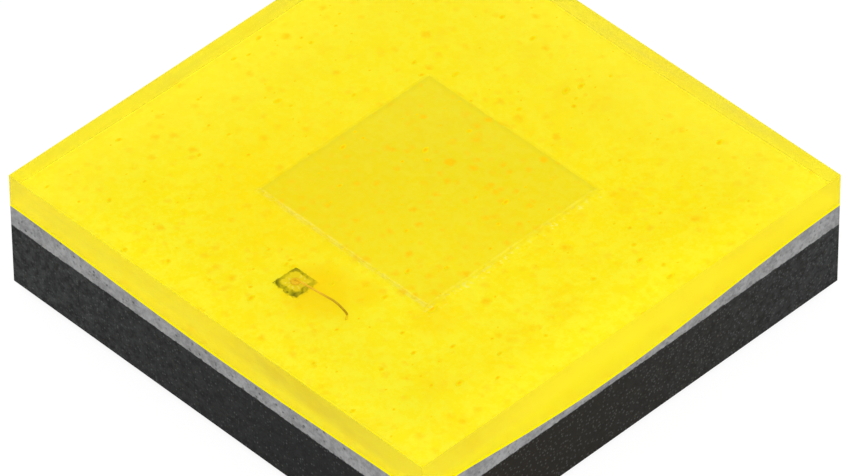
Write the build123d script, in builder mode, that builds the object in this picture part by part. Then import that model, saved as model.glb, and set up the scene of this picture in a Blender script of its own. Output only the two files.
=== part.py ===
from build123d import *
import os

# Flat-topped white surface-mount LED, all sizes in millimetres. From below: solder pads, a black
# ceramic tile with filled vias, copper traces, a flip chip and a protection diode with its bond wire,
# a grey reflector layer, a phosphor coat and a clear silicone slab. +Z is the way the light leaves.
# +X runs from the cathode to the anode, and the origin is at the middle of the underside.

os.makedirs("parts", exist_ok=True)

# Ceramic tile
body_side = 3.45
ceramic_thickness = 0.455

# Solder pads under the tile
pad_thickness = 0.05
pad_margin = 0.075
pad_gap = 0.45
electrode_pad_width = 0.5
pad_corner_radius = 0.05
polarity_chamfer = 0.16

# Filled vias through the tile
via_radius = 0.06
via_count = 3
via_end_inset = 0.45

# Copper traces on the tile
trace_thickness = 0.04
trace_margin = 0.12
trace_gap = 0.1
trace_corner_radius = 0.05
tongue_margin = 0.04

# Flip chip and its two solder joints
chip_side = 1.395
chip_body_thickness = 0.123
chip_offset_x = 0.015
chip_offset_y = 0.015
electrode_height = 0.005
electrode_inset = 0.05
electrode_gap = 0.16
solder_thickness = 0.02
solder_inset = 0.015

# Protection diode
diode_side = 0.165
diode_thickness = 0.139
diode_x = 0.03
diode_shift = 0.126
diode_pad_inset = 0.022
diode_pad_height = 0.004
adhesive_thickness = 0.01
adhesive_dot_height = 0.04
adhesive_dot_margin = 0.025
adhesive_dot_taper = 30

# Bond wire, a ball on the diode and a stitch on the anode trace
wire_diameter = 0.015
ball_radius = 0.031
ball_foot_radius = 0.024
ball_height = 0.018
neck_height = 0.006
neck_rise = 0.02
loop_peak_reach = 0.36
loop_peak_height = 0.132
loop_drop_reach = 0.447
loop_drop_height = 0.072
foot_reach = 0.415
foot_height = 0.035
stitch_reach = 0.49
stitch_radius = 0.018
stitch_thickness = 0.007
neck_bend_radius = 0.02
peak_bend_radius = 0.08
drop_bend_radius = 0.03
foot_bend_radius = 0.03

# Reflector layer, whose top dips along each side of the tile
reflector_thickness = 0.153
meniscus_reach = 0.32
front_dip = 0.043
front_dip_length = 2.5
right_dip = 0.106
right_dip_length = 3.1
right_dip_shift = -0.17
back_dip = 0.06
back_dip_length = 3.1
left_dip = 0.05
left_dip_length = 3.1

# Phosphor coat
coat_thickness = 0.02
coat_over_diode = 0.012
chip_coat_skirt = 0.025
chip_coat_taper = 25
diode_coat_skirt = 0.014
diode_coat_taper = 15
coat_edge_radius = 0.006

# Clear silicone slab
slab_height_over_reflector = 0.244
slab_edge_radius = 0.004

# Heights of the layers, from the pad faces up
ceramic_bottom = pad_thickness
ceramic_top = ceramic_bottom + ceramic_thickness
trace_top = ceramic_top + trace_thickness
reflector_top = ceramic_top + reflector_thickness
coat_top = reflector_top + coat_thickness
slab_top = reflector_top + slab_height_over_reflector
chip_bottom = trace_top + solder_thickness
chip_top = chip_bottom + electrode_height + chip_body_thickness
diode_bottom = trace_top + adhesive_thickness
diode_top = diode_bottom + diode_thickness
diode_pad_top = diode_top + diode_pad_height

# Places shared by the pads, the vias and the traces
pad_length = body_side - 2 * pad_margin
electrode_pad_x = body_side / 2 - pad_margin - electrode_pad_width / 2
thermal_pad_width = body_side - 2 * (pad_margin + electrode_pad_width + pad_gap)
via_pitch = (pad_length - 2 * via_end_inset) / (via_count - 1)
trace_length = body_side - 2 * trace_margin
trace_width = (trace_length - trace_gap) / 2
trace_x = (trace_gap + trace_width) / 2

# The diode lies between the chip and the front edge, a little nearer the chip than half-way
diode_y = diode_shift - (body_side + chip_side) / 4
adhesive_dot_radius = Vector(diode_side, diode_side).length / 2 + adhesive_dot_margin
electrodes = (("cathode", -1), ("anode", 1))

# What the grey layer is cast around is collected here as it is made
cast_in = []


# Ceramic tile: pressed black ceramic, sawn square, with a row of holes over each electrode pad
with BuildPart() as ceramic_substrate:
    with BuildSketch(Plane.XY.offset(ceramic_bottom)):
        Rectangle(body_side, body_side)
        with GridLocations(2 * electrode_pad_x, via_pitch, 2, via_count):
            Circle(via_radius, mode=Mode.SUBTRACT)
    extrude(amount=ceramic_thickness)
ceramic_substrate.part.label = "ceramic_substrate"
export_step(ceramic_substrate.part, "parts/ceramic_substrate.step")


# Electrode pads and vias: plated copper, with a cut corner on the cathode pad as its mark
for electrode, side in electrodes:
    with BuildPart() as electrode_pad:
        with BuildSketch():
            with Locations((side * electrode_pad_x, 0)):
                RectangleRounded(electrode_pad_width, pad_length, pad_corner_radius)
            if electrode == "cathode":
                inner_edge_x = electrode_pad_width / 2 - electrode_pad_x
                with Locations((inner_edge_x, pad_length / 2)):
                    RegularPolygon(polarity_chamfer, 4, mode=Mode.SUBTRACT)
        extrude(amount=pad_thickness)
    electrode_pad.part.label = f"{electrode}_pad"
    export_step(electrode_pad.part, f"parts/{electrode}_pad.step")

    with BuildPart() as via_row:
        with BuildSketch(Plane.XY.offset(ceramic_bottom)):
            with Locations((side * electrode_pad_x, 0)):
                with GridLocations(0, via_pitch, 1, via_count):
                    Circle(via_radius)
        extrude(amount=ceramic_thickness)
    via_row.part.label = f"{electrode}_vias"
    export_step(via_row.part, f"parts/{electrode}_vias.step")


# Thermal pad: the wide middle pad, which carries heat and no current
with BuildPart() as thermal_pad:
    with BuildSketch():
        RectangleRounded(thermal_pad_width, pad_length, pad_corner_radius)
    extrude(amount=pad_thickness)
thermal_pad.part.label = "thermal_pad"
export_step(thermal_pad.part, "parts/thermal_pad.step")


# Traces: two copper fields with a gap that runs straight under the chip and steps aside in front of
# it, so that a tongue of the cathode field carries the diode
tongue_end_x = diode_x + adhesive_dot_radius + tongue_margin
tongue_end_y = diode_y + adhesive_dot_radius + tongue_margin
tongue_length = trace_x + tongue_end_x
tongue_width = trace_length / 2 + tongue_end_y
low_corner = (Align.MIN, Align.MIN)
for electrode, side in electrodes:
    with BuildPart() as trace:
        with BuildSketch(Plane.XY.offset(ceramic_top)):
            with Locations((side * trace_x, 0)):
                Rectangle(trace_width, trace_length)
            with Locations((-trace_x, -trace_length / 2)):
                if electrode == "cathode":
                    Rectangle(tongue_length, tongue_width, align=low_corner)
                else:
                    Rectangle(
                        tongue_length + trace_gap,
                        tongue_width + trace_gap,
                        align=low_corner,
                        mode=Mode.SUBTRACT,
                    )
            fillet(vertices(), trace_corner_radius)
        extrude(amount=trace_thickness)
    trace.part.label = f"{electrode}_trace"
    export_step(trace.part, f"parts/{electrode}_trace.step")
    cast_in.append(trace.part)


# LED chip: a thin square die that gives its light upwards, with two flat electrodes underneath
electrode_length = chip_side - 2 * electrode_inset
electrode_width = (electrode_length - electrode_gap) / 2
electrode_x = (electrode_gap + electrode_width) / 2
with BuildPart() as led_chip:
    with BuildSketch(Plane.XY.offset(chip_bottom + electrode_height)):
        with Locations((chip_offset_x, chip_offset_y)):
            Rectangle(chip_side, chip_side)
    extrude(amount=chip_body_thickness)
    with BuildSketch(Plane.XY.offset(chip_bottom)):
        with Locations((chip_offset_x, chip_offset_y)):
            with GridLocations(2 * electrode_x, 0, 2, 1):
                Rectangle(electrode_width, electrode_length)
    extrude(amount=electrode_height)
led_chip.part.label = "led_chip"
export_step(led_chip.part, "parts/led_chip.step")
cast_in.append(led_chip.part)


# Chip solder: one flat joint under each electrode of the chip
for electrode, side in electrodes:
    with BuildPart() as solder_joint:
        with BuildSketch(Plane.XY.offset(trace_top)):
            with Locations((chip_offset_x + side * electrode_x, chip_offset_y)):
                RectangleRounded(
                    electrode_width - 2 * solder_inset,
                    electrode_length - 2 * solder_inset,
                    solder_inset,
                )
        extrude(amount=solder_thickness)
    solder_joint.part.label = f"chip_{electrode}_solder"
    export_step(solder_joint.part, f"parts/chip_{electrode}_solder.step")
    cast_in.append(solder_joint.part)


# Protection diode: a small silicon cube with a raised bond pad on top
with BuildPart() as protection_diode:
    with BuildSketch(Plane.XY.offset(diode_bottom)):
        with Locations((diode_x, diode_y)):
            Rectangle(diode_side, diode_side)
    extrude(amount=diode_thickness)
    with BuildSketch(Plane.XY.offset(diode_top)):
        with Locations((diode_x, diode_y)):
            RectangleRounded(
                diode_side - 2 * diode_pad_inset,
                diode_side - 2 * diode_pad_inset,
                diode_pad_inset,
            )
    extrude(amount=diode_pad_height)
protection_diode.part.label = "protection_diode"
export_step(protection_diode.part, "parts/protection_diode.step")
cast_in.append(protection_diode.part)


# Diode adhesive: a round dot of silver epoxy, squeezed out under the diode and up its foot
with BuildPart() as diode_adhesive:
    with BuildSketch(Plane.XY.offset(trace_top)):
        with Locations((diode_x, diode_y)):
            Circle(adhesive_dot_radius)
    extrude(amount=adhesive_dot_height, taper=adhesive_dot_taper)
    add(protection_diode.part, mode=Mode.SUBTRACT)
diode_adhesive.part.label = "diode_adhesive"
export_step(diode_adhesive.part, "parts/diode_adhesive.step")
cast_in.append(diode_adhesive.part)


# Bond wire: gold, one piece. A squashed ball on the diode's pad, a low loop towards +X, a steep drop
# through the layers and a flat stitch on the anode trace. Heights in its plane start at the pad.
wire_plane = Plane(origin=(diode_x, diode_y, diode_pad_top), x_dir=(1, 0, 0), z_dir=(0, -1, 0))
trace_level = trace_top - diode_pad_top
ball_top = ball_height + neck_height
with BuildPart() as bond_wire:
    with BuildSketch(wire_plane):
        with BuildLine():
            Polyline(
                (0, 0),
                (ball_foot_radius, 0),
                (ball_radius, ball_height / 2),
                (ball_foot_radius, ball_height),
                (wire_diameter / 2, ball_top),
                (0, ball_top),
                close=True,
            )
        make_face()
    revolve(axis=Axis((diode_x, diode_y, 0), (0, 0, 1)))
    with BuildLine(wire_plane) as wire_path:
        FilletPolyline(
            (0, ball_top),
            (0, ball_top + neck_rise),
            (loop_peak_reach, loop_peak_height),
            (loop_drop_reach, loop_drop_height),
            (foot_reach, trace_level + foot_height),
            (stitch_reach, trace_level + wire_diameter / 2),
            radius=[neck_bend_radius, peak_bend_radius, drop_bend_radius, foot_bend_radius],
        )
    with BuildSketch(Plane(origin=wire_path.line @ 0, z_dir=wire_path.line % 0)):
        Circle(wire_diameter / 2)
    sweep(path=wire_path.line)
    with BuildSketch(Plane.XY.offset(trace_top)):
        with Locations((diode_x + stitch_reach, diode_y)):
            Circle(stitch_radius)
    extrude(amount=stitch_thickness)
    split(bisect_by=Plane.XY.offset(trace_top))
bond_wire.part.label = "bond_wire"
export_step(bond_wire.part, "parts/bond_wire.step")
cast_in.append(bond_wire.part)


def dipping_block(level):
    """The plan of the tile from its top up to a level, whose own top dips along each side.

    Each dip is an arc, drawn on the side face and extruded inwards and upwards, so that it fades out
    over meniscus_reach.
    """
    sides = (
        (0, front_dip, front_dip_length, 0),
        (90, right_dip, right_dip_length, right_dip_shift),
        (180, back_dip, back_dip_length, 0),
        (270, left_dip, left_dip_length, 0),
    )
    with BuildPart() as block:
        with BuildSketch(Plane.XY.offset(ceramic_top)):
            Rectangle(body_side, body_side)
        extrude(amount=level - ceramic_top)
        for turn, dip, dip_length, shift in sides:
            outward = Vector(0, -1, 0).rotate(Axis.Z, turn)
            along = Vector(1, 0, 0).rotate(Axis.Z, turn)
            middle = outward * body_side / 2 + along * shift + Vector(0, 0, level)
            with BuildSketch(Plane(origin=middle, x_dir=along, z_dir=outward)):
                with BuildLine():
                    ThreePointArc((-dip_length / 2, 0), (0, -dip), (dip_length / 2, 0))
                    Line((dip_length / 2, 0), (-dip_length / 2, 0))
                make_face()
            inwards = Vector(0, 0, dip) - outward * meniscus_reach
            extrude(amount=inwards.length, dir=inwards, mode=Mode.SUBTRACT)
    return block.part


under_coat = dipping_block(reflector_top)
over_coat = dipping_block(coat_top)


# Reflector layer: grey silicone cast around the chip and the diode, sawn flush with the tile
with BuildPart() as reflector_layer:
    add(under_coat)
    for piece in cast_in:
        add(piece, mode=Mode.SUBTRACT)
reflector_layer.part.label = "reflector_layer"
export_step(reflector_layer.part, "parts/reflector_layer.step")


# Phosphor coat: sprayed over everything at one thickness, so that it stands up over the chip and
# thinly over the diode, where the ball and the wire come through it
with BuildPart() as coat_form:
    add(over_coat)
    with BuildSketch(Plane.XY.offset(reflector_top)):
        with Locations((chip_offset_x, chip_offset_y)):
            Rectangle(chip_side + 2 * chip_coat_skirt, chip_side + 2 * chip_coat_skirt)
    extrude(amount=chip_top + coat_thickness - reflector_top, taper=chip_coat_taper)
    with BuildSketch(Plane.XY.offset(reflector_top)):
        with Locations((diode_x, diode_y)):
            Rectangle(diode_side + 2 * diode_coat_skirt, diode_side + 2 * diode_coat_skirt)
    extrude(amount=diode_top + coat_over_diode - reflector_top, taper=diode_coat_taper)
    plateaus = faces().filter_by(Axis.Z).group_by(Axis.Z)[-2:]
    fillet([edge for level in plateaus for top in level for edge in top.edges()], coat_edge_radius)

with BuildPart() as phosphor_coat:
    add(coat_form.part)
    add(under_coat, mode=Mode.SUBTRACT)
    for piece in cast_in:
        add(piece, mode=Mode.SUBTRACT)
phosphor_coat.part.label = "phosphor_coat"
export_step(phosphor_coat.part, "parts/phosphor_coat.step")


# Clear slab: silicone with a flat top, sawn flush with the coat, the reflector layer and the tile
with BuildPart() as clear_slab:
    with BuildSketch(Plane.XY.offset(ceramic_top)):
        Rectangle(body_side, body_side)
    extrude(amount=slab_top - ceramic_top)
    fillet(faces().sort_by(Axis.Z)[-1].edges(), slab_edge_radius)
    add(coat_form.part, mode=Mode.SUBTRACT)
    add(bond_wire.part, mode=Mode.SUBTRACT)
clear_slab.part.label = "clear_slab"
export_step(clear_slab.part, "parts/clear_slab.step")
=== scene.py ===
import math

import bpy
from mathutils import Matrix, Vector


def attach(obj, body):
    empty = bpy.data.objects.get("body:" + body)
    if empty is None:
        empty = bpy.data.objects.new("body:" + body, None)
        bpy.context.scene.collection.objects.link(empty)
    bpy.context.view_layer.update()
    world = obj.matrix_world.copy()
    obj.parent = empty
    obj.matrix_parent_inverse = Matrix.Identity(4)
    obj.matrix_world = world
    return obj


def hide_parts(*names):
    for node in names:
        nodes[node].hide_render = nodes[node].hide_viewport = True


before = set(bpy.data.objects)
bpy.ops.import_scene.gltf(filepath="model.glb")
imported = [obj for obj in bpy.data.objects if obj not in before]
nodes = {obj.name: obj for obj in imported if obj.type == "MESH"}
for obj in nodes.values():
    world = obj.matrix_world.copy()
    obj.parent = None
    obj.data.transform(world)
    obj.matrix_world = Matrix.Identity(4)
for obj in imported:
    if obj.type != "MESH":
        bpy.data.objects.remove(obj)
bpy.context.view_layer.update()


# Ceramic tile: pressed and fired black ceramic, sawn square after everything is cast on it. The saw
# leaves it matt and finely mottled, with many tiny pale grains torn open on its sides.
MM = 0.001
body_side = 3.45
near_side, at_side = body_side / 2 - 0.015, body_side / 2 - 0.005
tile_black = (0.016, 0.0165, 0.016)
tile_open_black = (0.056, 0.058, 0.058)
tile_warm_black = (0.036, 0.024, 0.01)
tile_grain_pale = (0.13, 0.138, 0.135)
tile_grain_spacing = 0.019
tile_grain_share = 0.5
front_grain_strength, right_grain_strength = 0.47, 0.49


class Reading:
    """A number that a tree of nodes works out, to be added to, multiplied or compared."""

    def __init__(self, tree, socket):
        self.tree, self.socket = tree, socket

    def worked(self, operation, *others, clamp=False):
        made = self.tree.nodes.new("ShaderNodeMath")
        made.operation, made.use_clamp = operation, clamp
        for place, value in enumerate((self, *others)):
            plug(self.tree, value, made.inputs[place])
        return Reading(self.tree, made.outputs[0])

    def __add__(self, other):
        return self.worked("ADD", other)

    def __sub__(self, other):
        return self.worked("SUBTRACT", other)

    def __rsub__(self, other):
        return (self * -1.0) + other

    def __mul__(self, other):
        return self.worked("MULTIPLY", other)

    def __truediv__(self, other):
        return self.worked("DIVIDE", other)

    __radd__, __rmul__ = __add__, __mul__

    def size(self):
        return self.worked("ABSOLUTE")

    def least(self, other):
        return self.worked("MINIMUM", other)

    def most(self, other):
        return self.worked("MAXIMUM", other)

    def fade(self, low, high, smooth=True):
        """0 up to low and 1 from high, or the other way round where low is the greater."""
        made = self.tree.nodes.new("ShaderNodeMapRange")
        made.interpolation_type = "SMOOTHSTEP" if smooth else "LINEAR"
        for name, value in (("Value", self), ("From Min", low), ("From Max", high)):
            plug(self.tree, value, made.inputs[name])
        return Reading(self.tree, made.outputs["Result"])


def plug(tree, value, socket):
    """Joins a socket to a reading or another socket, or gives it a plain value."""
    value = value.socket if isinstance(value, Reading) else value
    if isinstance(value, bpy.types.NodeSocket):
        tree.links.new(value, socket)
    elif hasattr(value, "__len__") and socket.type == "RGBA":
        socket.default_value = (*value[:3], 1.0)
    else:
        socket.default_value = value


def add_node(tree, kind, settings=None, **inputs):
    """A new node with its settings and its inputs, where an input's spaces are written as _."""
    made = tree.nodes.new(kind)
    for name, value in (settings or {}).items():
        setattr(made, name, value)
    for name, value in inputs.items():
        plug(tree, value, made.inputs[name.replace("_", " ")])
    return made


class Finish:
    """A material whose patterns are measured in millimetres over the piece."""

    def __init__(self, name):
        self.material = bpy.data.materials.new(name)
        self.material.use_nodes = True
        self.tree = self.material.node_tree
        self.tree.nodes.clear()
        where = add_node(self.tree, "ShaderNodeTexCoord").outputs["Object"]
        self.place = self.stretched(1.0, 1.0, 1.0, where)

    def stretched(self, x, y, z, place=None):
        """The place in millimetres, times these shares along each axis."""
        per_metre = 1.0 / MM if place is not None else 1.0
        made = add_node(self.tree, "ShaderNodeVectorMath", {"operation": "MULTIPLY"})
        plug(self.tree, place or self.place, made.inputs[0])
        made.inputs[1].default_value = (x * per_metre, y * per_metre, z * per_metre)
        return made.outputs[0]

    def axes(self):
        made = add_node(self.tree, "ShaderNodeSeparateXYZ", Vector=self.place)
        return [Reading(self.tree, made.outputs[axis]) for axis in "XYZ"]

    def cloud(self, per_mm, detail=2.0, roughness=0.5, place=None, seed=0.0):
        """Soft random patches, from 0 to 1 and mostly near a half."""
        made = add_node(
            self.tree,
            "ShaderNodeTexNoise",
            {"noise_dimensions": "4D"},
            Vector=place or self.place,
            W=seed,
            Scale=per_mm,
            Detail=detail,
            Roughness=roughness,
        )
        return Reading(self.tree, made.outputs[0])

    def grains(self, spacing, place=None, randomness=1.0):
        """How far each place is from its nearest grain's middle, and that grain's own random number."""
        made = add_node(
            self.tree,
            "ShaderNodeTexVoronoi",
            Vector=place or self.place,
            Scale=1.0 / spacing,
            Randomness=randomness,
        )
        own = add_node(self.tree, "ShaderNodeSeparateColor", Color=made.outputs["Color"])
        return Reading(self.tree, made.outputs["Distance"]), Reading(self.tree, own.outputs[0])

    def stirred(self, reach, per_mm):
        """The place, pushed about by soft noise of this reach, so that round things turn ragged."""
        noise = add_node(self.tree, "ShaderNodeTexNoise", Vector=self.place, Scale=per_mm)
        push = add_node(self.tree, "ShaderNodeVectorMath", {"operation": "MULTIPLY_ADD"})
        plug(self.tree, noise.outputs["Color"], push.inputs[0])
        push.inputs[1].default_value = (2.0 * reach,) * 3
        plug(self.tree, self.place, push.inputs[2])
        return push.outputs[0]

    def blend(self, share, first, second):
        """The first colour where share is 0 and the second where it is 1."""
        made = add_node(self.tree, "ShaderNodeMix", {"data_type": "RGBA"})
        for place, value in ((0, share), (6, first), (7, second)):
            plug(self.tree, value, made.inputs[place])
        return made.outputs[2]

    def tinted(self, share, colour, tint):
        """The colour times the tint where share is 1, and as it was where share is 0."""
        made = add_node(self.tree, "ShaderNodeMix", {"data_type": "RGBA", "blend_type": "MULTIPLY"})
        for place, value in ((0, share), (6, colour), (7, tint)):
            plug(self.tree, value, made.inputs[place])
        return made.outputs[2]

    def bump(self, height, depth_mm):
        """A normal for a height from 0 to 1 that stands depth_mm high."""
        made = add_node(
            self.tree, "ShaderNodeBump", Strength=1.0, Distance=depth_mm * MM, Height=height
        )
        return made.outputs[0]

    def surface(self, **inputs):
        """Ends the material in one Principled shader with these inputs, and returns the material."""
        shader = add_node(self.tree, "ShaderNodeBsdfPrincipled", **inputs)
        ending = add_node(self.tree, "ShaderNodeOutputMaterial")
        self.tree.links.new(shader.outputs[0], ending.inputs["Surface"])
        return self.material


def dress(node_name, material):
    """Gives a CAD node its finish."""
    mesh = nodes[node_name].data
    mesh.materials.clear()
    mesh.materials.append(material)


ceramic = Finish("sawn_black_ceramic")
x, y, z = ceramic.axes()
distance, own = ceramic.grains(tile_grain_spacing)
right_side = x.fade(near_side, at_side)
grain_strength = right_side * (right_grain_strength - front_grain_strength) + front_grain_strength
open_grain = distance.fade(0.5, 0.1) * own.fade(1.0 - tile_grain_share, 1.0) * grain_strength
mottle = ceramic.cloud(24.0, detail=4.0, roughness=0.7)
body = ceramic.blend(mottle.fade(0.3, 0.7), tile_black, tile_open_black)
# Painted shade: the tile darkens towards its front corner and on its right face. The right face is also
# warmer near that corner.
shade_towards_front = ((x - y) * 0.5).fade(-0.2, 1.6)
body = ceramic.blend(shade_towards_front * 0.8 + right_side * 0.15, body, tile_black)
body = ceramic.blend(right_side * shade_towards_front * 0.3, body, tile_warm_black)
dress(
    "ceramic_substrate",
    ceramic.surface(
        Base_Color=ceramic.blend(open_grain, body, tile_grain_pale),
        Roughness=mottle.fade(0.2, 0.8) * 0.2 + 0.65,
        Specular_IOR_Level=0.1,
        Normal=ceramic.bump(mottle + open_grain * 0.5, 0.003),
    ),
)


# Solder pads: copper plated up on the tile's underside, then nickel and a thin coat of gold. They
# are matt from the etched copper under the gold, with the faint marks of a test probe.
gold_plate = (1.0, 0.78, 0.4)
gold_plate_worn = (0.86, 0.64, 0.3)

plating = Finish("matt_gold_plating")
etch = plating.cloud(55.0, detail=4.0, roughness=0.7)
drift = plating.cloud(2.2, detail=2.0, seed=3.0)
rub = plating.cloud(16.0, detail=2.0, place=plating.stretched(0.16, 1.0, 1.0), seed=5.0)
plated = plating.surface(
    Base_Color=plating.blend(
        (etch * 0.5 + drift * 0.5).fade(0.4, 0.62), gold_plate, gold_plate_worn
    ),
    Metallic=1.0,
    Roughness=etch.fade(0.3, 0.7) * 0.16 + rub.fade(0.4, 0.65) * 0.1 + 0.3,
    Normal=plating.bump(etch * 0.7 + rub * 0.3, 0.003),
)
for pad in ("cathode_pad", "anode_pad", "thermal_pad"):
    dress(pad, plated)


# Vias: copper plated into the tile's drilled holes and filled, which carry the current through it
# and can't be seen once the pads and the traces close them.
via_copper = (0.72, 0.38, 0.2)
via_copper_dull = (0.52, 0.24, 0.12)

plug_copper = Finish("plated_via_copper")
crystal = plug_copper.cloud(60.0, detail=3.0)
filled = plug_copper.surface(
    Base_Color=plug_copper.blend(crystal.fade(0.35, 0.65), via_copper, via_copper_dull),
    Metallic=1.0,
    Roughness=crystal * 0.3 + 0.25,
    Normal=plug_copper.bump(crystal, 0.002),
)
for row in ("cathode_vias", "anode_vias"):
    dress(row, filled)


# Traces: two copper fields on top of the tile, etched apart and plated with gold for the solder and
# the wire. The grey layer is cast over them.
trace_gold = (0.86, 0.63, 0.3)
trace_gold_shade = (0.7, 0.48, 0.22)

field_plating = Finish("plated_trace_gold")
lay = field_plating.cloud(48.0, detail=4.0, roughness=0.65)
field_gold = field_plating.surface(
    Base_Color=field_plating.blend(lay.fade(0.35, 0.65), trace_gold, trace_gold_shade),
    Metallic=1.0,
    Roughness=lay * 0.3 + 0.2,
    Normal=field_plating.bump(lay, 0.002),
)
for trace in ("cathode_trace", "anode_trace"):
    dress(trace, field_gold)


# Chip and its solder: a thin polished crystal with its light-giving layers and two flat electrodes
# underneath, which gold and tin solder joins to the traces. The yellow coat hides all of it.
crystal_clear = (0.6, 0.65, 0.58)
crystal_deep = (0.42, 0.5, 0.44)
solder_pale = (0.78, 0.71, 0.56)
solder_dark = (0.58, 0.5, 0.36)

chip_finish = Finish("polished_chip_crystal")
depth = chip_finish.cloud(9.0, detail=2.0)
dress(
    "led_chip",
    chip_finish.surface(
        Base_Color=chip_finish.blend(depth.fade(0.3, 0.7), crystal_clear, crystal_deep),
        Roughness=depth * 0.1 + 0.08,
        Coat_Weight=0.3,
    ),
)
joint_finish = Finish("gold_tin_solder")
frost = joint_finish.cloud(70.0, detail=3.0)
joint = joint_finish.surface(
    Base_Color=joint_finish.blend(frost.fade(0.35, 0.65), solder_pale, solder_dark),
    Metallic=1.0,
    Roughness=frost * 0.3 + 0.25,
    Normal=joint_finish.bump(frost, 0.002),
)
for side in ("cathode", "anode"):
    dress(f"chip_{side}_solder", joint)


# Protection diode: a sawn cube of silicon that guards the chip against static, with a bright pad on
# top for the wire's ball. A dot of silver epoxy holds it on the cathode trace.
silicon_grey = (0.11, 0.11, 0.12)
silicon_edge = (0.19, 0.19, 0.2)
epoxy_silver = (0.62, 0.62, 0.6)
epoxy_shade = (0.42, 0.42, 0.41)

diode_finish = Finish("sawn_diode_silicon")
saw = diode_finish.cloud(60.0, detail=2.0, place=diode_finish.stretched(1.0, 1.0, 0.2))
dress(
    "protection_diode",
    diode_finish.surface(
        Base_Color=diode_finish.blend(saw.fade(0.35, 0.7), silicon_grey, silicon_edge),
        Metallic=0.4,
        Roughness=saw * 0.25 + 0.2,
    ),
)
epoxy_finish = Finish("silver_epoxy")
flake = epoxy_finish.cloud(90.0, detail=3.0, roughness=0.7)
dress(
    "diode_adhesive",
    epoxy_finish.surface(
        Base_Color=epoxy_finish.blend(flake.fade(0.35, 0.65), epoxy_silver, epoxy_shade),
        Metallic=0.5,
        Roughness=flake * 0.3 + 0.4,
        Normal=epoxy_finish.bump(flake, 0.004),
    ),
)
diode_middle = Vector((0.03, -1.08525, 0.698))
diode_half = 0.0825


# Bond wire: one length of gold, welded as a squashed ball on the diode's pad, led over in a low loop
# and down through the layers to a flat stitch on the anode trace. The spray dusts its foot yellow.
wire_radius = 0.0075
trace_level = 0.545
foot_height = trace_level + 0.035 - diode_middle.z
end_height = trace_level + wire_radius - diode_middle.z
wire_route = (
    (0, 0.02), (0, 0.044), (0.35, 0.124), (0.43, 0.066), (0.415, foot_height), (0.49, end_height)
)
wire_bends = (0.0, 0.02, 0.12, 0.03, 0.03, 0.0)
wire_bend_steps, wire_sides = 14, 24
ball_profile = (
    (0.0, 0.0), (0.022, 0.0), (0.028, 0.003), (0.031, 0.008), (0.0295, 0.0135), (0.025, 0.0175),
    (0.0165, 0.0195), (0.0125, 0.022), (0.0101, 0.026), (0.0, 0.027),
)
ball_sides = 40
stitch_reach, stitch_length, stitch_width = 0.49, 0.024, 0.018
stitch_profile = (
    (0.0, 0.0), (1.0, 0.0), (1.04, 0.0018), (1.0, 0.0044), (0.82, 0.0062), (0.45, 0.007), (0.0, 0.0072),
)
ball_gold = (0.92, 0.6, 0.002)
wire_painted_highlight_gold = (1.0, 0.68, 0.06)
wire_painted_shade_gold = (0.5, 0.33, 0.004)
wire_gold_shade = (0.75, 0.48, 0.02)
wire_dusted = (1.0, 0.82, 0.01)


def new_tree(name, sizes):
    """An empty tree of Geometry Nodes with a mesh coming in, named sizes, and a mesh going out."""
    tree = bpy.data.node_groups.new(name, "GeometryNodeTree")
    tree.interface.new_socket("Geometry", in_out="INPUT", socket_type="NodeSocketGeometry")
    for size, start in sizes.items():
        kind = {bool: "Bool", int: "Int", float: "Float"}.get(type(start), "Vector")
        kind = "Material" if isinstance(start, bpy.types.Material) else kind
        tree.interface.new_socket(size, in_out="INPUT", socket_type=f"NodeSocket{kind}")
    tree.interface.new_socket("Geometry", in_out="OUTPUT", socket_type="NodeSocketGeometry")
    arriving, leaving = tree.nodes.new("NodeGroupInput"), tree.nodes.new("NodeGroupOutput")
    return tree, arriving.outputs, leaving.inputs["Geometry"]


def follow_rule(tree, name, sizes, start=None):
    """Runs a tree with these sizes on a starting mesh, and returns the result as a plain mesh piece."""
    piece = bpy.data.objects.new(name, start or bpy.data.meshes.new(name))
    bpy.context.scene.collection.objects.link(piece)
    rule = piece.modifiers.new("rule", "NODES")
    rule.node_group = tree
    for entry in tree.interface.items_tree:
        if entry.in_out == "INPUT" and entry.name in sizes:
            rule[entry.identifier] = sizes[entry.name]
    made = piece.evaluated_get(bpy.context.evaluated_depsgraph_get())
    mesh = bpy.data.meshes.new_from_object(made)
    piece.modifiers.remove(rule)
    piece.data = mesh
    mesh.name = name
    return piece


def wire_point(reach, height):
    """A point of the wire's plane, in metres: reach along +X from the diode, height over its pad."""
    return (diode_middle + Vector((reach, 0.0, height))) * MM


drawn_gold = Finish("drawn_bond_gold")
x, y, z = drawn_gold.axes()
reach = x - diode_middle.x
draw_marks = drawn_gold.cloud(70.0, detail=3.0)
# Painted highlight and painted shade: the wire is paler rose just past the ball and browner towards its
# far end.
colour = drawn_gold.blend(reach.fade(0.03, 0.05), ball_gold, wire_painted_highlight_gold)
colour = drawn_gold.blend(reach.fade(0.16, 0.42), colour, wire_painted_shade_gold)
colour = drawn_gold.blend(draw_marks.fade(0.45, 0.65) * 0.5, colour, wire_gold_shade)
dusted = z.fade(0.765, 0.74) * reach.fade(0.3, 0.35)
gold = drawn_gold.surface(
    Base_Color=drawn_gold.blend(dusted * 0.85, colour, wire_dusted),
    Metallic=dusted * -0.4 + reach.fade(0.03, 0.05) * 0.4 + 0.5,
    Roughness=draw_marks * 0.25 + 0.35,
    Normal=drawn_gold.bump(draw_marks, 0.001),
)

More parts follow.
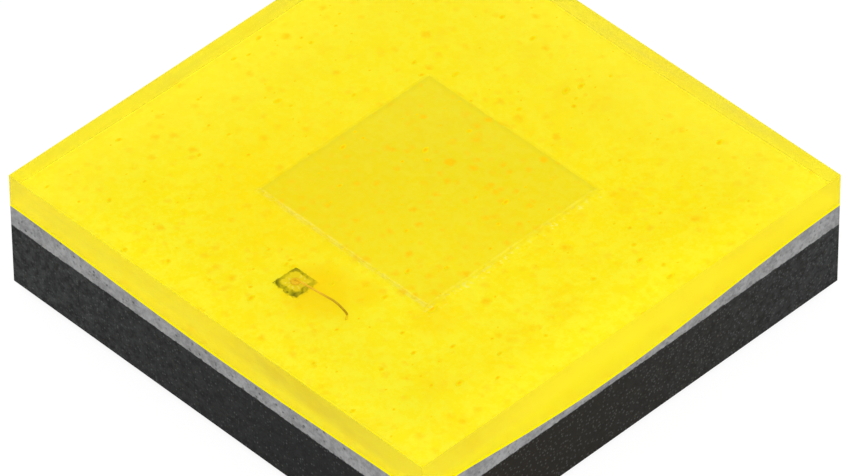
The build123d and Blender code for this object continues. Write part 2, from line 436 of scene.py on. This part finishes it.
wire_sizes = {
    "Radius": wire_radius * MM,
    "Bend Steps": wire_bend_steps,
    "Sides": wire_sides,
    "Finish": gold,
}
wire_tree, size_of, result = new_tree("bond_wire_along_its_route", wire_sizes)
route = add_node(wire_tree, "GeometryNodeMeshToCurve", Mesh=size_of["Geometry"])
bend = add_node(
    wire_tree, "GeometryNodeInputNamedAttribute", {"data_type": "FLOAT"}, Name="bend"
)
round_route = add_node(
    wire_tree,
    "GeometryNodeFilletCurve",
    {"mode": "POLY"},
    Curve=route.outputs[0],
    Count=size_of["Bend Steps"],
    Radius=bend.outputs[0],
)
round_wire = add_node(
    wire_tree,
    "GeometryNodeCurvePrimitiveCircle",
    Resolution=size_of["Sides"],
    Radius=size_of["Radius"],
)
tube = add_node(
    wire_tree,
    "GeometryNodeCurveToMesh",
    Curve=round_route.outputs[0],
    Profile_Curve=round_wire.outputs[0],
    Fill_Caps=True,
)
smooth = add_node(wire_tree, "GeometryNodeSetShadeSmooth", Geometry=tube.outputs[0])
whole = add_node(wire_tree, "GeometryNodeRealizeInstances", Geometry=smooth.outputs[0])
gilt = add_node(
    wire_tree, "GeometryNodeSetMaterial", Geometry=whole.outputs[0], Material=size_of["Finish"]
)
wire_tree.links.new(gilt.outputs[0], result)

centre_line = bpy.data.meshes.new("bond_wire_route")
centre_line.from_pydata(
    [wire_point(*point) for point in wire_route],
    [(i, i + 1) for i in range(len(wire_route) - 1)],
    [],
)
bends = centre_line.attributes.new("bend", "FLOAT", "POINT")
bends.data.foreach_set("value", [radius * MM for radius in wire_bends])
bond_wire = follow_rule(wire_tree, "bond_wire_gold", wire_sizes, centre_line)


def turned(profile, middle, sides, oval=(1.0, 1.0)):
    """Points and faces of a closed round form: a profile from the axis below to the axis above."""
    (_, low), *rings, (_, high) = profile
    points = [middle + Vector((0.0, 0.0, low))]
    for radius, height in rings:
        for step in range(sides):
            angle = 2.0 * math.pi * step / sides
            points.append(
                middle
                + Vector((radius * math.cos(angle) * oval[0], radius * math.sin(angle) * oval[1], height))
            )
    points.append(middle + Vector((0.0, 0.0, high)))
    last = len(points) - 1
    faces = []
    for step in range(sides):
        after = (step + 1) % sides
        faces.append((0, 1 + after, 1 + step))
        faces.append((last, last - sides + step, last - sides + after))
        for ring in range(len(rings) - 1):
            base, above = 1 + ring * sides, 1 + (ring + 1) * sides
            faces.append((base + step, base + after, above + after, above + step))
    return [point * MM for point in points], faces


def joined(piece, extras, material):
    """Adds closed forms to a piece's mesh, smooth and in one material."""
    points = [vertex.co.copy() for vertex in piece.data.vertices]
    faces = [tuple(face.vertices) for face in piece.data.polygons]
    for more_points, more_faces in extras:
        start = len(points)
        points += more_points
        faces += [tuple(start + i for i in face) for face in more_faces]
    mesh = bpy.data.meshes.new(piece.name)
    mesh.from_pydata(points, [], faces)
    mesh.shade_smooth()
    mesh.materials.append(material)
    piece.data = mesh


joined(
    bond_wire,
    [
        turned(ball_profile, diode_middle, ball_sides),
        turned(
            stitch_profile,
            Vector((diode_middle.x + stitch_reach, diode_middle.y, trace_level)),
            ball_sides,
            oval=(stitch_length, stitch_width),
        ),
    ],
    gold,
)
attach(bond_wire, "root")
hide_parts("bond_wire")


# Reflector layer: silicone filled with a fine white powder and a little black, cast around the chip
# up to its top so that light leaves only upwards. It sinks along the sides as it cures, and the saw
# drags a little black over its lower edge.
tile_top = 0.505
reflector_top = 0.658
dips = {"Front Dip": 0.043, "Right Dip": 0.104, "Back Dip": 0.06, "Left Dip": 0.05}
right_dip_lean = 0.5
meniscus_reach = 0.42
layer_lines = 150
grey_pale = (0.36, 0.362, 0.362)
grey_deep = (0.21, 0.21, 0.212)
grey_speck = (0.07, 0.07, 0.07)

dip_sizes = {
    "Level": reflector_top * MM,
    "Side": body_side * MM,
    "Reach": meniscus_reach * MM,
    "Lean": right_dip_lean,
    **{name: dip * MM for name, dip in dips.items()},
}


def dipping_level(tree, size_of, x, y):
    """The height of a layer that was level before it sank along the four sides."""
    half = Reading(tree, size_of["Side"]) / 2.0
    height = Reading(tree, size_of["Level"])
    ways = (("Front Dip", x, y), ("Right Dip", y, x * -1.0), ("Back Dip", x, y * -1.0), ("Left Dip", y, x))
    for name, across, inwards in ways:
        share = across / half
        hollow = 1.0 - share * share
        hollow = hollow * hollow * size_of[name]
        if name == "Right Dip":
            hollow = hollow * (1.0 - share * size_of["Lean"])
        fading = (1.0 - (inwards + half) / size_of["Reach"]).most(0.0)
        height = height - hollow * fading * fading
    return height


def layer_tree(name, sizes, heights):
    """A tree for a square closed layer, whose two faces get the heights that a function works out."""
    tree, size_of, result = new_tree(name, sizes)
    side = add_node(tree, "ShaderNodeCombineXYZ", X=size_of["Side"], Y=size_of["Side"], Z=2.0)
    blank = add_node(tree, "GeometryNodeMeshCube", Size=side.outputs[0])
    for socket, count in (("Vertices X", size_of["Lines"]), ("Vertices Y", size_of["Lines"])):
        plug(tree, count, blank.inputs[socket])
    blank.inputs["Vertices Z"].default_value = 2
    place = add_node(tree, "GeometryNodeInputPosition")
    axes = add_node(tree, "ShaderNodeSeparateXYZ", Vector=place.outputs[0])
    x, y, z = (Reading(tree, axes.outputs[axis]) for axis in "XYZ")
    lower, upper = heights(tree, size_of, x, y)
    over = z.fade(-0.5, 0.5, smooth=False)
    height = lower + (upper - lower) * over
    target = add_node(tree, "ShaderNodeCombineXYZ", X=x, Y=y, Z=height)
    shaped = add_node(
        tree, "GeometryNodeSetPosition", Geometry=blank.outputs["Mesh"], Position=target.outputs[0]
    )
    whole = add_node(tree, "GeometryNodeRealizeInstances", Geometry=shaped.outputs[0])
    finished = add_node(
        tree, "GeometryNodeSetMaterial", Geometry=whole.outputs[0], Material=size_of["Finish"]
    )
    tree.links.new(finished.outputs[0], result)
    return tree


def reflector_heights(tree, size_of, x, y):
    return Reading(tree, size_of["Foot"]), dipping_level(tree, size_of, x, y)


silicone_grey = Finish("grey_filled_silicone")
x, y, z = silicone_grey.axes()
powder = silicone_grey.cloud(30.0, detail=4.0, roughness=0.8)
drift = silicone_grey.cloud(8.0, detail=2.0, seed=1.0)
distance, own = silicone_grey.grains(0.028)
pit = distance.fade(0.5, 0.15) * own.fade(0.6, 0.95)
grey_body = silicone_grey.blend((powder * 0.7 + drift * 0.3).fade(0.38, 0.62), grey_pale, grey_deep)
over_tile = z - tile_top - (silicone_grey.cloud(38.0, detail=2.0, seed=2.0) - 0.46) * 0.035
grey_body = silicone_grey.blend(over_tile.fade(0.003, 0.0), grey_body, tile_open_black)
grey = silicone_grey.surface(
    Base_Color=silicone_grey.blend(pit * 0.85, grey_body, grey_speck),
    Roughness=powder * 0.2 + 0.6,
    Normal=silicone_grey.bump(powder - pit * 0.4, 0.004),
)
reflector_sizes = {
    **dip_sizes,
    "Foot": tile_top * MM,
    "Lines": layer_lines,
    "Finish": grey,
}
reflector = follow_rule(
    layer_tree("reflector_layer_rule", reflector_sizes, reflector_heights),
    "grey_reflector_layer",
    reflector_sizes,
)
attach(reflector, "root")
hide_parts("reflector_layer")


# Phosphor coat: yellow powder in silicone, sprayed over the grey layer, the chip and the diode. It
# stands up over the chip, and is so thin over the diode's edges that the dark silicon shows.
coat_thickness = 0.02
coat_top = reflector_top + coat_thickness
coat_lines = 220
chip_middle = (0.015, 0.015)
chip_half = 0.6975
chip_skirt = 0.025
chip_rise = 0.035
diode_skirt = 0.016
diode_rise = 0.028
spray_relief = 0.0016
relief_per_mm = 26.0
sawn_line = 0.0006
phosphor_yellow = (1.0, 0.95, 0.042)
phosphor_warm = (1.0, 0.88, 0.001)
phosphor_golden = (1.0, 0.76, 0.0)
phosphor_orange = (1.0, 0.7, 0.0)
phosphor_pale = (1.0, 0.92, 0.07)
phosphor_sawn = (1.0, 0.87, 0.001)
golden_drifts = (
    (-0.5, -0.5, 0.85, 0.3), (0.45, 0.36, 0.35, 0.2), (0.17, -1.03, 0.3, 0.85), (0.36, -0.86, 0.16, 0.6),
    (0.81, -0.72, 0.2, 0.4),
)
soft_dots = ((0.07, 0.55, 0.5, 0.45), (0.12, 0.36, 0.45, 0.9), (0.19, 0.26, 0.6, 1.0))
over_chip_front = (0.98, 0.96, 1.1)
over_chip_back = (0.915, 0.915, 1.5)
chip_even = (0.93, 0.82, 0.019)
chip_far_edge_shade = (0.8, 0.72, 0.03)
chip_edge_highlight = (1.0, 0.97, 0.32)
chip_edge_glint = (1.0, 1.0, 0.35)
diode_dark = (0.11, 0.12, 0.0)
diode_olive = (0.5, 0.45, 0.0)
diode_inside = (0.8, 0.67, 0.01)
diode_glint = (0.95, 0.88, 0.2)
diode_roundness = 8.0

coat_sizes = {
    **dip_sizes,
    "Level": coat_top * MM,
    "Thickness": coat_thickness * MM,
    "Chip Half": chip_half * MM,
    "Chip Skirt": chip_skirt * MM,
    "Chip Rise": chip_rise * MM,
    "Diode Half": diode_half * MM,
    "Diode Skirt": diode_skirt * MM,
    "Diode Rise": diode_rise * MM,
    "Spray Relief": spray_relief * MM,
    "Lines": coat_lines,
}


def outside_square(x, y, middle, half):
    """How far a place is outside a square, and less than 0 inside it."""
    return (x - middle[0]).size().most((y - middle[1]).size()) - half


def coat_surface(tree, size_of, x, y):
    """The top of the coat: the dipping level, and the rises over the chip and the diode."""
    height = dipping_level(tree, size_of, x, y)
    chip_off = outside_square(x, y, [c * MM for c in chip_middle], Reading(tree, size_of["Chip Half"]))
    diode_off = outside_square(
        x, y, (diode_middle.x * MM, diode_middle.y * MM), Reading(tree, size_of["Diode Half"])
    )
    chip_skirt_of = Reading(tree, size_of["Chip Skirt"])
    diode_skirt_of = Reading(tree, size_of["Diode Skirt"])
    over_chip = (chip_off * -1.0).fade(chip_skirt_of * -1.0, 0.0, smooth=False)
    over_diode = (diode_off * -1.0).fade(diode_skirt_of * -1.0, 0.0, smooth=False)
    return height + over_chip * size_of["Chip Rise"] + over_diode * size_of["Diode Rise"]


def coat_heights(tree, size_of, x, y):
    place = add_node(tree, "ShaderNodeCombineXYZ", X=x, Y=y)
    relief = add_node(
        tree, "ShaderNodeTexNoise", Vector=place.outputs[0], Scale=relief_per_mm / MM, Detail=1.0
    )
    upper = coat_surface(tree, size_of, x, y)
    lower = upper - size_of["Thickness"]
    from_wall = Reading(tree, size_of["Side"]) / 2.0 - x.size().most(y.size())
    sprayed = (Reading(tree, relief.outputs[0]) - 0.5) * 2.0 * size_of["Spray Relief"]
    return lower, upper + sprayed * from_wall.fade(0.0, size_of["Chip Skirt"])


spray = Finish("sprayed_yellow_phosphor")
x, y, z = spray.axes()
broad = spray.cloud(1.1, detail=2.0, seed=2.0)
blotch = spray.cloud(4.2, detail=3.0, roughness=0.6, seed=4.0)
fine = spray.cloud(14.0, detail=4.0, roughness=0.75, seed=6.0)
backwards = ((y - x) * 0.5).fade(-1.6, 1.2)
mottle = fine.fade(0.4, 0.6)
colour = spray.blend(mottle * 0.7 + backwards * 0.4, phosphor_yellow, phosphor_warm)
gathered = blotch.fade(0.5, 0.75) * 0.5 + broad.fade(0.45, 0.65) * 0.15
for across, along, reach, depth in golden_drifts:
    away = (x - across) * (x - across) + (y - along) * (y - along)
    gathered = gathered.most(away.fade(reach * reach, 0.0) * depth * (blotch + 0.5))
colour = spray.blend(gathered, colour, phosphor_golden)
colour = spray.blend((x * -1.0).most(y).fade(1.0, 1.6) * 0.3, colour, phosphor_pale)
colour = spray.blend(((y - x) * 0.5).fade(0.0, 0.5) * 0.2, colour, phosphor_pale)

edge_wobble = (spray.cloud(35.0, detail=1.0, seed=1.0) - 0.5) * 0.01
chip_off = outside_square(x, y, chip_middle, chip_half) + edge_wobble
chip_backwards = ((y - x) * 0.5).fade(-0.6, 0.3)
over_chip = spray.blend(chip_backwards, over_chip_front, over_chip_back)
over_crystal = chip_off.fade(0.003, -0.008)
colour = spray.tinted(over_crystal, colour, over_chip)
colour = spray.blend(over_crystal * 0.35, colour, chip_even)
past_front = y * -1.0 + (chip_middle[1] - chip_half)
past_right = x - (chip_middle[0] + chip_half)
past_left = x * -1.0 + (chip_middle[0] - chip_half)
past_back = y - (chip_middle[1] + chip_half)
# Painted shade: an olive band along the chip's far edges, where the coat slopes away.
far_edge_shade = past_left.most(past_back).fade(-0.05, -0.01) * chip_off.fade(0.006, -0.004)
colour = spray.blend(far_edge_shade * 0.3, colour, chip_far_edge_shade)
# Painted highlight: a pale band, broken into specks, along the chip's near edges and fainter on its right
# side.
near_edge = past_front.most(past_right).fade(-0.012, 0.0)
skirt_band = near_edge * chip_off.fade(0.028, 0.008)
patchy = spray.cloud(9.0, detail=2.0, seed=7.0).fade(0.35, 0.62)
highlight_breaks = spray.cloud(60.0, detail=2.0, seed=14.0).fade(0.42, 0.6)
lit_side = 1.0 - past_right.fade(-0.01, 0.0) * 0.75
colour = spray.blend(skirt_band * (patchy * 0.25 + highlight_breaks * 0.25) * lit_side, colour, chip_edge_highlight)
# Painted glints: bright specks just beside the chip's right edge.
sparkle = spray.cloud(34.0, detail=2.0, seed=8.0).fade(0.53, 0.68)
beside_right = past_right.fade(0.0, 0.02) * chip_off.fade(0.075, 0.035)
colour = spray.blend(beside_right * sparkle * (patchy * 0.6 + 0.2), colour, chip_edge_glint)

for spacing, reach, share, depth in soft_dots:
    distance, own = spray.grains(spacing, place=spray.stirred(0.02, 30.0))
    soft_dot = distance.fade(reach, 0.0) * own.fade(1.0 - share, 1.0) * (over_crystal + 1.0)
    colour = spray.blend(soft_dot * depth, colour, phosphor_orange)

diode_across = (x - diode_middle.x).size()
diode_along = (y - diode_middle.y).size()
diode_wobble = (spray.cloud(30.0, detail=3.0, seed=9.0) - 0.55) * 0.045
rounded = diode_across.worked("POWER", diode_roundness) + diode_along.worked("POWER", diode_roundness)
diode_off = rounded.worked("POWER", 1.0 / diode_roundness) - diode_half + diode_wobble
right_corner = (x - diode_middle.x + y - diode_middle.y).fade(0.06, 0.14)
corner = diode_across.least(diode_along).fade(0.03, 0.075) * (1.0 - right_corner * 0.7)
inside = diode_off.fade(0.012, 0.0)
colour = spray.blend(inside * 0.85, colour, diode_inside)
glint = spray.cloud(60.0, detail=1.0, seed=12.0).fade(0.55, 0.65) * diode_off.fade(-0.02, -0.03)
colour = spray.blend(glint * 0.5, colour, diode_glint)
ring = diode_off.fade(-0.024, -0.008) * diode_off.fade(0.017, 0.006) * (1.0 - right_corner * 0.45)
sooty = spray.cloud(45.0, detail=1.0, seed=15.0).fade(0.5, 0.64) * 0.7
ring_colour = spray.blend(corner.most(sooty), diode_olive, diode_dark)
worn = spray.cloud(22.0, detail=1.0, seed=13.0).fade(0.3, 0.6) * 0.3 + 0.65
colour = spray.blend(ring * worn, colour, ring_colour)
sawn_edge = x.size().most(y.size()).fade(body_side / 2 - sawn_line, body_side / 2 - sawn_line / 3)
colour = spray.blend(sawn_edge, colour, phosphor_sawn)
phosphor = spray.surface(
    Base_Color=colour,
    Roughness=fine * 0.1 + 0.85,
    Specular_IOR_Level=0.0,
    Normal=spray.bump(fine + sparkle * skirt_band, 0.003),
)
coat_sizes["Finish"] = phosphor
coat = follow_rule(
    layer_tree("phosphor_coat_rule", coat_sizes, coat_heights), "yellow_phosphor_coat", coat_sizes
)
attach(coat, "root")
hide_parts("phosphor_coat")


# Coarse phosphor grains: clumps and large crystals of the powder, which the spray leaves half sunk
# in the coat. They are deeper orange than the rest, and the largest are listed one by one.
slab_top = 0.902
grains_per_mm2 = 20.0
grain_smallest, grain_largest = 0.006, 0.02
grain_flatness = 0.1
grain_rim = 0.045
grain_longest = 1.8
grain_seed = 11
grain_golden = (1.0, 0.78, 0.0)
grain_orange = (1.0, 0.6, 0.0)
large_grains = (
    (0.743, -0.675, 0.024), (-0.065, -1.352, 0.019), (1.292, -0.995, 0.019), (0.008, 1.297, 0.018),
    (0.929, 1.524, 0.02), (-0.595, -0.09, 0.018), (-0.233, 0.236, 0.019), (0.42, 0.254, 0.019),
    (0.432, -0.564, 0.017), (1.307, 0.471, 0.017),
)

clump = Finish("coarse_orange_phosphor")
own_warmth = add_node(clump.tree, "ShaderNodeAttribute", {"attribute_name": "warmth"})
warmth = Reading(clump.tree, own_warmth.outputs["Fac"])
crystals = clump.cloud(110.0, detail=2.0)
from_middle = add_node(clump.tree, "ShaderNodeAttribute", {"attribute_name": "from_middle"})
from_middle = Reading(clump.tree, from_middle.outputs["Fac"])
orange = clump.blend(warmth * 0.8 + crystals * 0.4 - 0.1, grain_golden, grain_orange)
coarse = clump.surface(
    Base_Color=clump.blend(from_middle.fade(1.0, 0.1), phosphor_warm, orange),
    Roughness=crystals * 0.2 + 0.75,
    Specular_IOR_Level=0.0,
    Normal=clump.bump(crystals, 0.0005),
)
grain_sizes = {
    "Side": body_side * MM,
    "Rim": grain_rim * MM,
    "Grains per Area": grains_per_mm2 / MM**2,
    "Smallest": grain_smallest * MM,
    "Largest": grain_largest * MM,
    "Flatness": grain_flatness,
    "Longest": grain_longest,
    "Seed": grain_seed,
    "Finish": coarse,
}
grain_tree, size_of, result = new_tree("grains_on_the_coat", grain_sizes)


def chance(tree, seed):
    """A random number from 0 to 1 for each point, with a fixed seed."""
    made = add_node(tree, "FunctionNodeRandomValue", {"data_type": "FLOAT"}, Seed=seed)
    return Reading(tree, made.outputs[1])


def kept(tree, points, name, value):
    """Points that carry a named number."""
    made = add_node(
        tree, "GeometryNodeStoreNamedAttribute", {"data_type": "FLOAT"}, Geometry=points, Name=name
    )
    plug(tree, value, made.inputs["Value"])
    return made.outputs[0]


place = add_node(grain_tree, "GeometryNodeInputPosition")
axes = add_node(grain_tree, "ShaderNodeSeparateXYZ", Vector=place.outputs[0])
x, y = (Reading(grain_tree, axes.outputs[axis]) for axis in "XY")
facing = add_node(grain_tree, "GeometryNodeInputNormal")
facing = add_node(grain_tree, "ShaderNodeSeparateXYZ", Vector=facing.outputs[0])
upward = Reading(grain_tree, facing.outputs["Z"]).worked("GREATER_THAN", 0.5)
from_wall = Reading(grain_tree, size_of["Side"]) / 2.0 - x.size().most(y.size())
on_top = upward * from_wall.worked("GREATER_THAN", size_of["Rim"])
scattered = add_node(
    grain_tree,
    "GeometryNodeDistributePointsOnFaces",
    Mesh=size_of["Geometry"],
    Selection=on_top,
    Density=size_of["Grains per Area"],
    Seed=size_of["Seed"],
)
rarely = chance(grain_tree, 1)
girth = Reading(grain_tree, size_of["Largest"]) - size_of["Smallest"]
girth = girth * rarely * rarely * rarely + size_of["Smallest"]
scattered = kept(grain_tree, scattered.outputs["Points"], "girth", girth)
scattered = kept(grain_tree, scattered, "warmth", chance(grain_tree, 2))

own_girth = add_node(
    grain_tree, "GeometryNodeInputNamedAttribute", {"data_type": "FLOAT"}, Name="girth"
)
own_girth = Reading(grain_tree, own_girth.outputs[0])
by_hand = add_node(
    grain_tree,
    "GeometryNodeMeshToPoints",
    Mesh=size_of["Geometry"],
    Selection=own_girth.worked("GREATER_THAN", 0.0),
)
fall = add_node(
    grain_tree,
    "GeometryNodeRaycast",
    Target_Geometry=size_of["Geometry"],
    Ray_Direction=(0.0, 0.0, -1.0),
    Ray_Length=MM,
)
landed = add_node(
    grain_tree,
    "GeometryNodeSetPosition",
    Geometry=by_hand.outputs[0],
    Position=fall.outputs["Hit Position"],
)
landed = kept(grain_tree, landed.outputs[0], "warmth", 0.75)
every_grain = add_node(grain_tree, "GeometryNodeJoinGeometry")
for points in (landed, scattered):
    grain_tree.links.new(points, every_grain.inputs[0])
ball = add_node(grain_tree, "GeometryNodeMeshIcoSphere", Radius=1.0, Subdivisions=2)
across = add_node(grain_tree, "ShaderNodeCombineXYZ", X=x, Y=y)
off_axis = add_node(
    grain_tree, "ShaderNodeVectorMath", {"operation": "LENGTH"}, Vector=across.outputs[0]
)
marked = kept(grain_tree, ball.outputs["Mesh"], "from_middle", off_axis.outputs["Value"])
round_grain = add_node(grain_tree, "GeometryNodeSetShadeSmooth", Geometry=marked)
length = own_girth * (1.0 + (Reading(grain_tree, size_of["Longest"]) - 1.0) * chance(grain_tree, 3))
grain_scale = add_node(
    grain_tree,
    "ShaderNodeCombineXYZ",
    X=own_girth,
    Y=length,
    Z=own_girth * size_of["Flatness"],
)
turn = add_node(grain_tree, "ShaderNodeCombineXYZ", Z=chance(grain_tree, 4) - 0.5)
grains_set = add_node(
    grain_tree,
    "GeometryNodeInstanceOnPoints",
    Points=every_grain.outputs[0],
    Instance=round_grain.outputs[0],
    Rotation=turn.outputs[0],
    Scale=grain_scale.outputs[0],
)
whole = add_node(grain_tree, "GeometryNodeRealizeInstances", Geometry=grains_set.outputs[0])
finished = add_node(
    grain_tree, "GeometryNodeSetMaterial", Geometry=whole.outputs[0], Material=size_of["Finish"]
)
grain_tree.links.new(finished.outputs[0], result)

grain_bed = coat.data.copy()
first = len(grain_bed.vertices)
grain_bed.vertices.add(len(large_grains))
girths = grain_bed.attributes.new("girth", "FLOAT", "POINT")
for number, (across, along, radius) in enumerate(large_grains, first):
    grain_bed.vertices[number].co = (across * MM, along * MM, slab_top * MM)
    girths.data[number].value = radius * MM
grains = follow_rule(grain_tree, "coarse_phosphor_grains", grain_sizes, grain_bed)
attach(grains, "root")


# Clear slab: silicone poured over the coat, cured flat and glossy on top, and sawn through with the
# tile. The saw leaves its walls a little dull, with streaks along the cut and a scuff on the front.
slab_lines = 120
slab_into_coat = 0.008
slab_rim = 0.008
slab_over_chip_less, slab_over_diode_less = 0.06, 0.03
slab_clear = (1.0, 0.995, 0.97)
slab_gleam = (1.0, 0.95, 0.12)
wall_gleam = (0.9, 0.8, 0.02)
front_wall_clear, front_wall_dull = (0.98, 0.91, 0.4), (0.84, 0.79, 1.0)
side_wall_clear, side_wall_dull = (1.0, 0.94, 0.1), (1.0, 0.93, 0.15)
scuff_grey = (0.68, 0.59, 1.0)
scuff_place, scuff_reach = (0.75, 0.85), (0.75, 0.14)
slab_bend = 1.41

slab_sizes = {
    **coat_sizes,
    "Chip Half": (chip_half - slab_over_chip_less) * MM,
    "Diode Half": (diode_half - slab_over_diode_less) * MM,
    "Lines": slab_lines,
    "Top": slab_top * MM,
    "Into Coat": slab_into_coat * MM,
    "Rim": slab_rim * MM,
}
del slab_sizes["Thickness"], slab_sizes["Spray Relief"]


def slab_heights(tree, size_of, x, y):
    half = Reading(tree, size_of["Side"]) / 2.0
    from_wall = half - x.size().most(y.size())
    sunk = (from_wall / size_of["Rim"]).least(1.0) * size_of["Into Coat"]
    return coat_surface(tree, size_of, x, y) - sunk, Reading(tree, size_of["Top"])


cast = Finish("clear_cast_silicone")
dust = cast.cloud(30.0, detail=2.0)
clear_top = cast.surface(
    Base_Color=slab_clear,
    Roughness=dust.fade(0.5, 0.8) * 0.03,
    IOR=slab_bend,
    Specular_Tint=slab_gleam,
    Transmission_Weight=1.0,
)


def sawn_wall(name, clear, dull, scuffed=False):
    """The finish of a sawn wall of the slab, clearer below and duller above and where it is rubbed."""
    sawn = Finish(name)
    x, y, z = sawn.axes()
    streak = sawn.cloud(26.0, detail=2.0, place=sawn.stretched(0.07, 0.07, 1.0))
    patch = sawn.cloud(2.6, detail=2.0, place=sawn.stretched(0.6, 0.6, 2.0), seed=2.0)
    upper = z.fade(slab_top - 0.21, slab_top - 0.13)
    colour = sawn.blend((streak * 0.4 + patch * 0.4).fade(0.3, 0.5) * 0.35 + upper * 0.65, clear, dull)
    cornerwards = ((x - y) * 0.5).fade(1.1, 1.6)
    colour = sawn.blend(cornerwards * upper * 0.4, colour, scuff_grey)
    if scuffed:
        across = (x - scuff_place[0]).size() / scuff_reach[0]
        upward = (z - scuff_place[1]).size() / scuff_reach[1]
        rubbed = sawn.cloud(14.0, detail=3.0, place=sawn.stretched(0.5, 1.0, 1.0), seed=3.0)
        on_front = y.fade(near_side * -1.0, at_side * -1.0)
        within = across.fade(1.1, 0.3) * upward.fade(1.2, 0.4) * on_front
        colour = sawn.blend(within * (rubbed.fade(0.3, 0.6) * 0.5 + 0.5), colour, scuff_grey)
    return sawn.surface(
        Base_Color=colour,
        Roughness=streak * 0.15 + patch.fade(0.45, 0.7) * 0.1 + 0.28,
        IOR=slab_bend,
        Specular_Tint=wall_gleam,
        Transmission_Weight=1.0,
    )


front_wall = sawn_wall("sawn_front_silicone", front_wall_clear, front_wall_dull, scuffed=True)
side_wall = sawn_wall("sawn_side_silicone", side_wall_clear, side_wall_dull)
slab_sizes["Finish"] = clear_top
slab = follow_rule(
    layer_tree("clear_slab_rule", slab_sizes, slab_heights), "clear_silicone_slab", slab_sizes
)
slab.data.materials.clear()
for finish in (clear_top, front_wall, side_wall):
    slab.data.materials.append(finish)
for face in slab.data.polygons:
    across, along, upward = (abs(part) for part in face.normal)
    face.material_index = 0 if upward > 0.5 else 1 if along > across else 2
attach(slab, "root")
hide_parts("clear_slab")


# Floor, light and camera: a white table under a soft dome with one large soft lamp, seen from the
# photograph's viewpoint with its long lens. From below the table is seen through.
scene = bpy.context.scene
floor_half = 0.6
floor_drop = 0.002 * MM
floor_white = (0.86, 0.86, 0.86)
table_glow, table_glow_share = 1.07, 0.84
dome_strength = 1.0
mirrored_share = 0.45
lamp_watts = 0.066
lamp_side = 0.12
lamp_place = Vector((0.10, -0.05, 0.16))
view_azimuth, view_elevation, view_roll = math.radians(45.73), math.radians(43.28), math.radians(-0.52)
view_distance, view_shift_right, view_shift_up = 55.306, -0.015, 0.251
tile_foot = 0.05
lens_pixels, photo_width, film_width = 9334.1, 846, 36.0

floor_mesh = bpy.data.meshes.new("floor")
floor_mesh.from_pydata(
    [(sx * floor_half, sy * floor_half, -floor_drop) for sx, sy in ((-1, -1), (1, -1), (1, 1), (-1, 1))],
    [],
    [(0, 1, 2, 3)],
)
floor = bpy.data.objects.new("floor", floor_mesh)
scene.collection.objects.link(floor)


def seen_directly(tree):
    """1 for rays from the camera and for those sent on by clear silicone, less for mirrored ones."""
    path = add_node(tree, "ShaderNodeLightPath")
    camera_ray, glossy_ray, clear_ray = (
        Reading(tree, path.outputs[f"Is {kind} Ray"]) for kind in ("Camera", "Glossy", "Transmission")
    )
    return camera_ray.most(clear_ray), glossy_ray * (1.0 - mirrored_share)


table = bpy.data.materials.new("white_table")
table.use_nodes = True
table.node_tree.nodes.clear()
matt = add_node(table.node_tree, "ShaderNodeBsdfDiffuse", Color=floor_white)
direct, mirrored = seen_directly(table.node_tree)
strength = (1.0 - mirrored) * table_glow
glow = add_node(table.node_tree, "ShaderNodeEmission", Color=(1.0, 1.0, 1.0), Strength=strength)
mixed = add_node(table.node_tree, "ShaderNodeMixShader")
plug(table.node_tree, direct.most(mirrored.fade(0.0, 0.1)) * table_glow_share, mixed.inputs[0])
table.node_tree.links.new(matt.outputs[0], mixed.inputs[1])
table.node_tree.links.new(glow.outputs[0], mixed.inputs[2])
from_below = add_node(table.node_tree, "ShaderNodeNewGeometry").outputs["Backfacing"]
unseen = add_node(table.node_tree, "ShaderNodeBsdfTransparent")
one_sided = add_node(table.node_tree, "ShaderNodeMixShader")
table.node_tree.links.new(from_below, one_sided.inputs[0])
table.node_tree.links.new(mixed.outputs[0], one_sided.inputs[1])
table.node_tree.links.new(unseen.outputs[0], one_sided.inputs[2])
ending = add_node(table.node_tree, "ShaderNodeOutputMaterial")
table.node_tree.links.new(one_sided.outputs[0], ending.inputs["Surface"])
floor_mesh.materials.append(table)

world = bpy.data.worlds.new("white_studio")
scene.world = world
world.use_nodes = True
sky = world.node_tree
sky.nodes.clear()
direct, mirrored = seen_directly(sky)
strength = (1.0 - mirrored) * dome_strength
dome = add_node(sky, "ShaderNodeBackground", Color=(1.0, 1.0, 1.0), Strength=strength)
backdrop = add_node(sky, "ShaderNodeBackground", Color=(1.0, 1.0, 1.0), Strength=1.0)
either = add_node(sky, "ShaderNodeMixShader")
plug(sky, direct, either.inputs[0])
sky.links.new(dome.outputs[0], either.inputs[1])
sky.links.new(backdrop.outputs[0], either.inputs[2])
ending = add_node(sky, "ShaderNodeOutputWorld")
sky.links.new(either.outputs[0], ending.inputs["Surface"])

lamp_data = bpy.data.lights.new("soft_lamp", "AREA")
lamp_data.shape, lamp_data.size, lamp_data.energy = "SQUARE", lamp_side, lamp_watts
lamp = bpy.data.objects.new("soft_lamp", lamp_data)
lamp.location = lamp_place
lamp.rotation_mode = "QUATERNION"
lamp.rotation_quaternion = lamp_place.to_track_quat("Z", "Y")
lamp.visible_glossy = False
scene.collection.objects.link(lamp)

back = Vector(
    (
        math.sin(view_azimuth) * math.cos(view_elevation),
        -math.cos(view_azimuth) * math.cos(view_elevation),
        math.sin(view_elevation),
    )
)
level_right = Vector((math.cos(view_azimuth), math.sin(view_azimuth), 0.0))
level_up = back.cross(level_right)
right = level_right * math.cos(view_roll) + level_up * math.sin(view_roll)
up = level_up * math.cos(view_roll) - level_right * math.sin(view_roll)
camera_data = bpy.data.cameras.new("camera")
camera_data.sensor_width = film_width
camera_data.lens = lens_pixels * film_width / photo_width
camera_data.clip_start, camera_data.clip_end = 0.001, 2.0
camera = bpy.data.objects.new("camera", camera_data)
camera.location = (
    back * view_distance + right * view_shift_right + up * view_shift_up + Vector((0.0, 0.0, tile_foot))
) * MM
camera.rotation_mode = "QUATERNION"
camera.rotation_quaternion = Matrix((right, up, back)).transposed().to_quaternion()
scene.collection.objects.link(camera)
scene.camera = camera
scene.view_settings.view_transform = "Standard"
scene.cycles.blur_glossy = 0.0
